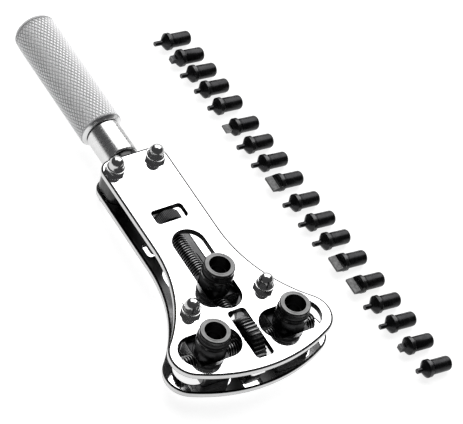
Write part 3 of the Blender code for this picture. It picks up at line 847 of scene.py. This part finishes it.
def make_grip(alloy, chrome):
    """A bored core with a turned front chamfer and a rounded end, united with its knurled sleeve."""
    line = at(0, 0, SCREW_Z)
    bore = STUD_RADIUS + GAP
    under = GRIP_RADIUS - KNURL_DEPTH - 0.12
    knurl_end = KNURL_START + KNURL_ROWS * KNURL_PITCH
    end_round = rounding((GRIP_END - GRIP_ROUND, GRIP_RADIUS - GRIP_ROUND), GRIP_ROUND, 90, 0, 18)
    tail = [point for point in end_round if point[0] > knurl_end - 0.1]
    section = [(STUD_END + GAP, 0), (STUD_END + GAP, bore), (GRIP_FRONT, bore), (GRIP_FRONT, under - 1.15),
               (GRIP_FRONT + 0.1, under - 0.95), (KNURL_START - 0.1, under + 0.02),
               (KNURL_START + 0.1, under),
               (knurl_end - 2.2, under), (knurl_end - 0.5, grip_reach(knurl_end) - 0.6)]
    section += tail[:-1] + [(GRIP_END, GRIP_RADIUS - GRIP_ROUND), (GRIP_END, 2.2), (GRIP_END - 0.5, 1.9),
                            (GRIP_END - 0.9, 0)]
    grip = turned("handle_core", section, "Y", line, 96)
    combine(grip, knurled_sleeve(line), "UNION")
    grip.name = "knurled_handle"
    coat(grip, alloy, chrome)
    settle(grip, 25)
    for face in grip.data.polygons:
        face.material_index = int(face.center.y < at(0, KNURL_START, 0).y)
    finish_piece(grip, "wrench_body", "grip_alloy", ["handle_grip"])


# --- Screws and wheels -----------------------------------------------------------------------------------


def thread(name, axis, centre, start, end, left_hand=False):
    """One tooth drawn along the axis, run round and along by a Screw modifier and cut off flat."""
    along = AXES[axis] * MM
    out = SIDEWAYS[axis] * MM
    tooth = [(0, SCREW_ROOT), (0.25, SCREW_ROOT), (0.5625, SCREW_RADIUS), (0.6875, SCREW_RADIUS),
             (1, SCREW_ROOT)]
    before = start - 2 * PITCH
    points = [centre + along * (before + PITCH * share) + out * radius for share, radius in tooth]
    piece = first_point(name, centre, points[0])
    for here, there in zip(points, points[1:]):
        run(there - here)
    leave_edit()
    turns = ceil((end - start) / PITCH) + 4
    apply_modifier(piece, "SCREW", axis=axis, angle=-TURN if left_hand else TURN, screw_offset=PITCH * MM,
                   iterations=turns, steps=32, render_steps=32)
    edit(piece)
    select_whole()
    bpy.ops.mesh.remove_doubles(threshold=WELD * MM)
    select_whole()
    bpy.ops.mesh.bisect(plane_co=centre + along * start, plane_no=AXES[axis], use_fill=True, clear_inner=True)
    select_whole()
    bpy.ops.mesh.bisect(plane_co=centre + along * end, plane_no=AXES[axis], use_fill=True, clear_outer=True)
    close_up(piece)
    return settle(piece, 25)


def wheel(name, axis, centre, radius, root, half, teeth, chamfer):
    """A toothed disc: every other pair of its points is drawn in to the root, then its sides are dished."""
    turn = {"X": (0, pi / 2, 0), "Y": (pi / 2, 0, 0)}[axis]
    disc = begin(name, bpy.ops.mesh.primitive_cylinder_add, vertices=4 * teeth, radius=radius * MM,
                 depth=2 * half * MM, location=centre, rotation=turn)
    activate(disc)
    bpy.ops.object.transform_apply(location=False, rotation=True, scale=True)
    number = "XYZ".index(axis)
    first, second = (n for n in range(3) if n != number)
    step = TURN / (4 * teeth)
    pick(disc, "VERT", lambda point: round(atan2(point[second], point[first]) / step) % 4 in (0, 1))
    shrink = [root / radius] * 3
    shrink[number] = 1
    bpy.ops.transform.resize(value=shrink, center_override=centre)
    pick(disc, "EDGE", lambda a, b: abs(a[number] - b[number]) < WELD * MM)
    bpy.ops.mesh.bevel(offset=chamfer * MM, segments=2, affect="EDGES", clamp_overlap=False)
    leave_edit()
    hub = SCREW_RADIUS + 0.9
    for side in (-1, 1):
        outside = side * (half + 1)
        dished = side * (half - WHEEL_DISH)
        hollow = turned("hollow", [(outside, hub), (dished, hub + 0.3), (dished, root - 1.5),
                                   (outside, root - 0.7), (outside, hub)], axis, centre, 64)
        combine(disc, hollow, "DIFFERENCE")
    drilled(disc, SCREW_RADIUS - 0.05, axis, centre, half + 1, 48)
    return settle(disc, 28)


def journal(name, axis, centre, start, end):
    """A plain shouldered length of screw, with a relief groove at each end."""
    radius = SCREW_RADIUS - 0.08
    section = [(start, 0), (start, SCREW_ROOT), (start + 0.35, SCREW_ROOT), (start + 0.5, radius),
               (end - 0.5, radius), (end - 0.35, SCREW_ROOT), (end, SCREW_ROOT), (end, 0)]
    return settle(turned(name, section, axis, centre, 48))


def make_screws(oxide_wheel, cross_black, lead_black):
    cross = at(0, WHEEL_LINE_Y, SCREW_Z)
    hub = FRONT_WHEEL_HALF + 0.4
    right = thread("cross_thread_right", "X", cross, hub, CROSS_SCREW_HALF)
    left = thread("cross_thread_left", "X", cross, -CROSS_SCREW_HALF, -hub, left_hand=True)
    middle = journal("cross_screw_journal", "X", cross, -hub - 0.1, hub + 0.1)
    finish_piece(middle, "cross_screw_body", "black_oxide", ["cross_screw"], cross_black)
    for piece in (right, left):
        finish_piece(piece, "cross_screw_body", "black_oxide", [], cross_black)
    front = wheel("toothed_front_wheel", "X", cross, FRONT_WHEEL_RADIUS, FRONT_WHEEL_ROOT, FRONT_WHEEL_HALF,
                  FRONT_WHEEL_TEETH, FRONT_WHEEL_CHAMFER)
    finish_piece(front, "cross_screw_body", "black_oxide", ["front_thumbwheel"], oxide_wheel["front"])

    lead = at(0, 0, SCREW_Z)
    hub_front = REAR_WINDOW_Y - REAR_WHEEL_HALF - 0.5
    hub_rear = REAR_WINDOW_Y + REAR_WHEEL_HALF + 0.5
    worm = thread("lead_thread", "Y", lead, LEAD_SCREW_FRONT, hub_front)
    shaft = journal("lead_screw_journal", "Y", lead, hub_front - 0.1, hub_rear)
    tail = journal("lead_screw_tail", "Y", lead, hub_rear - 0.1, LEAD_SCREW_REAR)
    finish_piece(worm, "lead_screw_body", "black_oxide", ["lead_screw"], lead_black)
    for piece in (shaft, tail):
        finish_piece(piece, "lead_screw_body", "black_oxide", [], lead_black)
    rear = wheel("knurled_rear_wheel", "Y", at(0, REAR_WINDOW_Y, SCREW_Z), REAR_WHEEL_RADIUS, REAR_WHEEL_ROOT,
                 REAR_WHEEL_HALF, REAR_WHEEL_TEETH, REAR_WHEEL_CHAMFER)
    finish_piece(rear, "lead_screw_body", "black_oxide", ["rear_thumbwheel"], oxide_wheel["rear"])


# --- Jaws ------------------------------------------------------------------------------------------------


def jaw(name, x, y, travel):
    """A turned post with a waisted, stepped socket head, on a milled carriage with the screw's bore."""
    foot = BOTTOM_UNDER + GAP
    post = JAW_POST_RADIUS
    waist = JAW_WAIST_RADIUS
    head = JAW_HEAD_RADIUS
    mouth_end = JAW_TOP - SOCKET_MOUTH_DEPTH
    bore_end = JAW_TOP - SOCKET_DEPTH
    section = [(foot + 0.9, 0), (foot + 0.4, 1.4), (foot, 1.6), (foot, post - 0.4),
               (foot + 0.4, post), (3.35, post), (3.5, post - 0.18),
               (3.8, post - 0.18), (3.95, post), (5.15, post),
               (5.35, post - 0.15), (5.8, waist + 0.1)]
    section += rounding((6.3, waist + 0.45), 0.45, 200, 290, 5)
    section += [(7.1, waist), (7.3, head - 0.15), (7.45, head), (JAW_TOP - 0.3, head),
                (JAW_TOP - 0.08, head - 0.2), (JAW_TOP, head - 0.32), (JAW_TOP, 4.62), (JAW_TOP - 0.04, 4.56),
                (JAW_TOP - 0.04, 4.42), (JAW_TOP, 4.36), (JAW_TOP, SOCKET_MOUTH_RADIUS + 0.14),
                (JAW_TOP - 0.14, SOCKET_MOUTH_RADIUS), (mouth_end, SOCKET_MOUTH_RADIUS),
                (mouth_end, SOCKET_RADIUS + 0.2), (mouth_end - 0.2, SOCKET_RADIUS),
                (bore_end, SOCKET_RADIUS), (bore_end - 0.9, 0)]
    piece = turned(name, section, "Z", at(x, y, 0), 80)
    half_x = JAW_CARRIAGE_ALONG if travel == "X" else JAW_CARRIAGE_ACROSS
    half_y = JAW_CARRIAGE_ACROSS if travel == "X" else JAW_CARRIAGE_ALONG
    low, high = BOTTOM_TOP + GAP, -PLATE_THICK - GAP
    block = rounded_block("carriage", (x - half_x, y - half_y, low), (x + half_x, y + half_y, high), 0.8, 3)
    soften(block, 0.25, 2)
    combine(piece, block, "UNION")
    drilled(piece, SCREW_RADIUS + GAP, travel, at(x, y, SCREW_Z), JAW_CARRIAGE_ACROSS + 1, 48)
    return settle(piece)


def make_jaws(oxide):
    for name, travel in (("jaw_left", "X"), ("jaw_right", "X"), ("jaw_rear", "Y")):
        low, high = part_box(name)
        place = ((low + high) / 2 - ORIGIN) / MM
        piece = jaw(f"socketed_{name}", place.x, place.y, travel)
        finish_piece(piece, f"{name}_body", "black_oxide", [name], oxide[name])


# --- Bits ------------------------------------------------------------------------------------------------


def flat_tip(half_width, half_thick, start, end, spread):
    """A hollow-ground blade drawn out of a face by four extrusions, thinning to its edge."""
    face = begin("tip", bpy.ops.mesh.primitive_plane_add, size=1, location=(-start * MM, 0, 0),
                 rotation=(0, pi / 2, 0))
    face.scale = (5.2 * MM, 2 * half_width * MM, 1)
    bpy.ops.object.transform_apply(location=True, rotation=True, scale=True)
    edit(face, "FACE")
    select_whole()
    thick = BLADE_STOCK
    for along, wanted, wide in ((start + 0.9, half_thick * 1.9, 1), (start + 1.5, half_thick * 1.15, 1),
                                (start + 2.2, half_thick, spread), (end, half_thick * 0.6, 1)):
        run(Vector((-(along - start) * MM, 0, 0)))
        bpy.ops.transform.resize(value=(1, wide, wanted / thick), center_override=(0, 0, 0))
        start, thick = along, wanted
    close_up(face)
    return face


def rounded_off(blade, radius):
    """Keeps what of a blade lies inside a round bar."""
    bar = begin("bar", bpy.ops.mesh.primitive_cylinder_add, vertices=64, radius=radius * MM, depth=30 * MM,
                rotation=(0, pi / 2, 0))
    return combine(blade, bar, "INTERSECT")


def peg_tip(start, end):
    """A stout square peg."""
    peg = begin("tip", bpy.ops.mesh.primitive_cube_add, size=1, location=(-(start + end) / 2 * MM, 0, 0),
                scale=((end - start) * MM, 2.5 * MM, 2.1 * MM))
    bpy.ops.object.transform_apply(location=True, rotation=True, scale=True)
    soften(peg, 0.15, 2)
    return peg


def bit(tip):
    """One bit about the world's origin: its shank's end at nought and its tip along -X."""
    here = Vector((0, 0, 0))
    slim = BIT_SHANK_RADIUS
    wide = BIT_COLLAR_RADIUS
    shoulder = BIT_SHANK_LENGTH
    collar_end = BIT_COLLAR_END
    pin = BIT_PIN_RADIUS
    shank = [(0, 0), (0, slim - BIT_END_ROUND)]
    shank += rounding((BIT_END_ROUND, slim - BIT_END_ROUND), BIT_END_ROUND, 180, 90, 8)[1:]
    shank += [(7.7, slim), (7.8, slim - 0.1), (8.05, slim - 0.1), (shoulder - 0.35, slim + 0.05),
              (shoulder, wide - 0.12), (shoulder + 0.14, wide), (collar_end - 0.14, wide),
              (collar_end, wide - 0.12)]
    if tip in PIN_LENGTHS:
        cone_end = collar_end + BIT_CONE_LENGTH
        pin_end = cone_end + PIN_LENGTHS[tip]
        shank += [(cone_end - 0.25, pin + 0.3), (cone_end, pin + 0.06), (cone_end + 0.25, pin),
                  (pin_end - 0.12, pin), (pin_end, pin - 0.12), (pin_end, 0)]
    elif tip == "chisel":
        shank += [(collar_end + 0.5, 2.85), (collar_end + 0.5, 0)]
    else:
        shank += [(collar_end + 1.4, 1.75), (collar_end + 1.4, 0)]
    body = turned(f"{tip}_bit", [(-along, radius) for along, radius in shank], "X", here, 48)
    if tip == "chisel":
        combine(body, rounded_off(flat_tip(3.2, 0.8, collar_end - 0.4, 13.8, 1), CHISEL_ROUND), "UNION")
    if tip == "blade":
        combine(body, rounded_off(flat_tip(1.55, 0.6, collar_end - 0.2, 14.3, 1.16), BLADE_ROUND), "UNION")
    if tip == "peg":
        combine(body, peg_tip(collar_end - 1, 13.7), "UNION")
    return settle(body, 28)


def mark_ground_faces(piece, tip):
    """The working end of a bit is bare: a pin's or peg's end face, or a blade's flats and edge."""
    end = min(vert.co.x for vert in piece.data.vertices)
    for face in piece.data.polygons:
        near = face.center.x < end + 0.01 * MM and face.normal.x < -0.9
        flat = face.center.x < -(BIT_COLLAR_END + 1.1) * MM and abs(face.normal.z) > 0.8
        face.material_index = int(near or (tip in ("chisel", "blade") and flat))


def make_bits(black, bare):
    masters = {tip: bit(tip) for tip in dict.fromkeys(BIT_TIPS)}
    for tip, master in masters.items():
        coat(master, black, bare)
        mark_ground_faces(master, tip)
    for number, tip in enumerate(BIT_TIPS):
        node = f"bit_{number + 1:02d}"
        low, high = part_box(node)
        made = copied(masters[tip], f"{tip}_bit_{number + 1:02d}")
        roll = 0 if tip in ("chisel", "blade", "peg") else number * 40
        made.rotation_euler = (radians(roll), BIT_LEAN, BIT_TURN)
        settle(made, shade=None)
        corners = [vert.co for vert in made.data.vertices]
        made_low = Vector(min(corner[axis] for corner in corners) for axis in range(3))
        made_high = Vector(max(corner[axis] for corner in corners) for axis in range(3))
        shift = (low + high) / 2 - (made_low + made_high) / 2
        made.location = (high.x - made_high.x, shift.y, low.z - made_low.z)
        settle(made, shade=None)
        finish_piece(made, f"{node}_body", "blackened_bit", [node])
    for master in masters.values():
        bpy.data.objects.remove(master)


# --- Stage -----------------------------------------------------------------------------------------------


def make_floor():
    floor = begin("pale_floor", bpy.ops.mesh.primitive_plane_add, size=FLOOR_SIZE, location=(0, 0, 0))
    edit(floor, "FACE")
    bpy.ops.mesh.subdivide(number_cuts=3)
    leave_edit()
    paint = Finish("pale_table", (0.4, 0.4, 0.4), 0.0, 0.8)
    mottle = paint.noise(paint.place(), 8, 2)
    paint.drive("Base Color", paint.blend(mottle, (0.38, 0.38, 0.38), (0.42, 0.42, 0.42)))
    paint.shader.inputs["Emission Color"].default_value = (1, 1, 1, 1)
    paint.shader.inputs["Emission Strength"].default_value = FLOOR_GLOW
    floor.data.materials.append(paint.material)


def soft_light(name, place, target, size, power):
    data = bpy.data.lights.new(name, "AREA")
    data.shape = "RECTANGLE"
    data.size, data.size_y = size
    data.energy = power
    lamp = bpy.data.objects.new(name, data)
    bpy.context.scene.collection.objects.link(lamp)
    lamp.location = place
    lamp.rotation_euler = (Vector(target) - Vector(place)).to_track_quat("-Z", "Y").to_euler()


def make_lights():
    """One big soft light over the handle's far side, which the flat plates mirror."""
    middle = at(0, 40, 0)
    soft_light("big_softbox", middle + SOFTBOX_OFFSET, middle, SOFTBOX_SIZE, SOFTBOX_POWER)
    world = bpy.data.worlds.new("dim_room")
    world.use_nodes = True
    world.node_tree.nodes["Background"].inputs["Color"].default_value = (0.075, 0.075, 0.077, 1)
    bpy.context.scene.world = world
    bpy.context.scene.view_settings.view_transform = "Standard"


def make_camera():
    azimuth, elevation, roll = (radians(angle) for angle in (VIEW_AZIMUTH, VIEW_ELEVATION, VIEW_ROLL))
    back = Vector((sin(azimuth) * cos(elevation), -cos(azimuth) * cos(elevation), sin(elevation)))
    right = (-back).cross(Vector((0, 0, 1))).normalized()
    up = right.cross(-back)
    tilted_right = cos(roll) * right + sin(roll) * up
    tilted_up = -sin(roll) * right + cos(roll) * up
    data = bpy.data.cameras.new("view")
    data.lens = VIEW_LENS
    data.sensor_width = 36
    data.clip_start = 0.05
    camera = bpy.data.objects.new("view", data)
    bpy.context.scene.collection.objects.link(camera)
    turn = Matrix((tilted_right, tilted_up, back)).transposed().to_4x4()
    camera.matrix_world = Matrix.Translation(at(*VIEW_PLACE)) @ turn
    bpy.context.scene.camera = camera


def main():
    make_camera()
    make_floor()
    make_lights()
    make_plates(mirror_chrome(),
                # The rolled edges' near-black tones are painted dark reflection.
                plate_skin("plate_edge_painted_dark_reflection", (0.004, 0.004, 0.004), (0.02, 0.02, 0.02), 0.24),
                plate_skin("ground_plate_wall", (0.5, 0.5, 0.5), (0.72, 0.72, 0.72), 0.26, 0.004),
                # The openings' near-black walls are painted shade.
                plate_skin("opening_wall_painted_shade", (0.01, 0.01, 0.01), (0.05, 0.05, 0.05), 0.4, 0.004),
                plate_skin("raw_plate_underside", (0.06, 0.06, 0.06), (0.3, 0.3, 0.3), 0.3, 0.003))
    steel = machined_steel("machined_steel", (0.42, 0.42, 0.43), (0.6, 0.6, 0.61))
    nut_chrome = {corner: turned_chrome(f"nut_chrome_{corner}", "Z", at(x, y, 0), 0.52, 0.1, 0.24)
                  for corner, (x, y) in BOLT_PLACES.items()}
    make_fasteners(nut_chrome, steel)
    make_tang(machined_steel("oiled_dark_steel", (0.02, 0.02, 0.02), (0.09, 0.09, 0.09)))
    line = at(0, 0, SCREW_Z)
    ferrule_chrome = turned_chrome("ferrule_chrome", "Y", line, 0.66, 0.2, 0.36)
    make_ferrule(ferrule_chrome)
    make_grip(knurled_alloy(line), ferrule_chrome)
    cross = at(0, WHEEL_LINE_Y, SCREW_Z)
    wheels = {"front": black_oxide("front_wheel_oxide", cross, "X"),
              "rear": black_oxide("rear_wheel_oxide", line, "Y", bare=(0.07, 0.07, 0.07))}
    make_screws(wheels, blackened_thread("cross_thread_black", cross, "X"),
                blackened_thread("lead_thread_black", line, "Y"))
    jaws = {}
    for name in ("jaw_left", "jaw_right", "jaw_rear"):
        low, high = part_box(name)
        jaws[name] = black_oxide(f"{name}_oxide", (low + high) / 2, "Z", rim=high.z)
    make_jaws(jaws)
    make_bits(oiled_bit_steel(), ground_tip_steel())


main()
